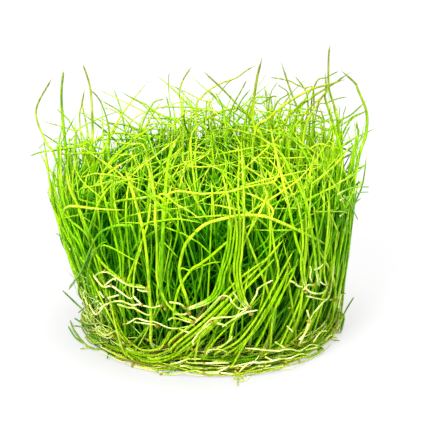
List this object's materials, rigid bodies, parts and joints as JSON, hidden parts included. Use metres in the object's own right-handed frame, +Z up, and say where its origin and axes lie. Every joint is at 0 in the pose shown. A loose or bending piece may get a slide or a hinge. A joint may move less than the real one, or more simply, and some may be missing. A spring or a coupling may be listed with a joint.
{
  "type": "dwarf hairgrass clump",
  "caption": "Round clump of thin upright grass stems with bent tips on a flat mat of roots, with white runners round its foot.",
  "frame": {"origin": "centre of the root mat's flat underside", "axes": "+Z up along the stems; the side that faces -Y is the front, and the clump leans a little towards -X"},
  "size_m": [0.0842, 0.0829, 0.074],
  "materials": {
    "stem": "fresh green plant stem, smooth and slightly glossy, paler at the foot",
    "runner": "white to cream plant runner, smooth, with small brown buds",
    "root_felt": "matted fine roots, cream and olive, rough and matt"
  },
  "bodies": {
    "root": {"root_mat": "root_felt", "runner_back": "runner", "runner_foot_back": "runner", "runner_foot_front": "runner", "runner_foot_left": "runner", "runner_foot_right": "runner", "runner_foot_upper": "runner", "runner_front": "runner", "runner_front_low": "runner", "runner_left_lower": "runner", "runner_left_upper": "runner", "runner_right_back": "runner", "runner_right_long": "runner", "runner_right_loop": "runner", "tuft_01": "stem", "tuft_02": "stem", "tuft_03": "stem", "tuft_04": "stem", "tuft_05": "stem", "tuft_06": "stem", "tuft_07": "stem", "tuft_08": "stem", "tuft_09": "stem", "tuft_10": "stem", "tuft_11": "stem", "tuft_12": "stem", "tuft_13": "stem", "tuft_14": "stem", "tuft_15": "stem", "tuft_16": "stem", "tuft_17": "stem", "tuft_18": "stem", "tuft_19": "stem", "tuft_20": "stem", "tuft_21": "stem", "tuft_22": "stem", "tuft_23": "stem", "tuft_24": "stem", "tuft_25": "stem", "tuft_26": "stem", "tuft_27": "stem", "tuft_28": "stem", "tuft_29": "stem", "tuft_30": "stem", "tuft_31": "stem", "tuft_32": "stem", "tuft_33": "stem", "tuft_34": "stem", "tuft_35": "stem", "tuft_36": "stem", "tuft_37": "stem", "tuft_38": "stem", "tuft_39": "stem", "tuft_40": "stem", "tuft_41": "stem", "tuft_42": "stem", "tuft_43": "stem", "tuft_44": "stem", "tuft_45": "stem"}
  },
  "joints": []
}
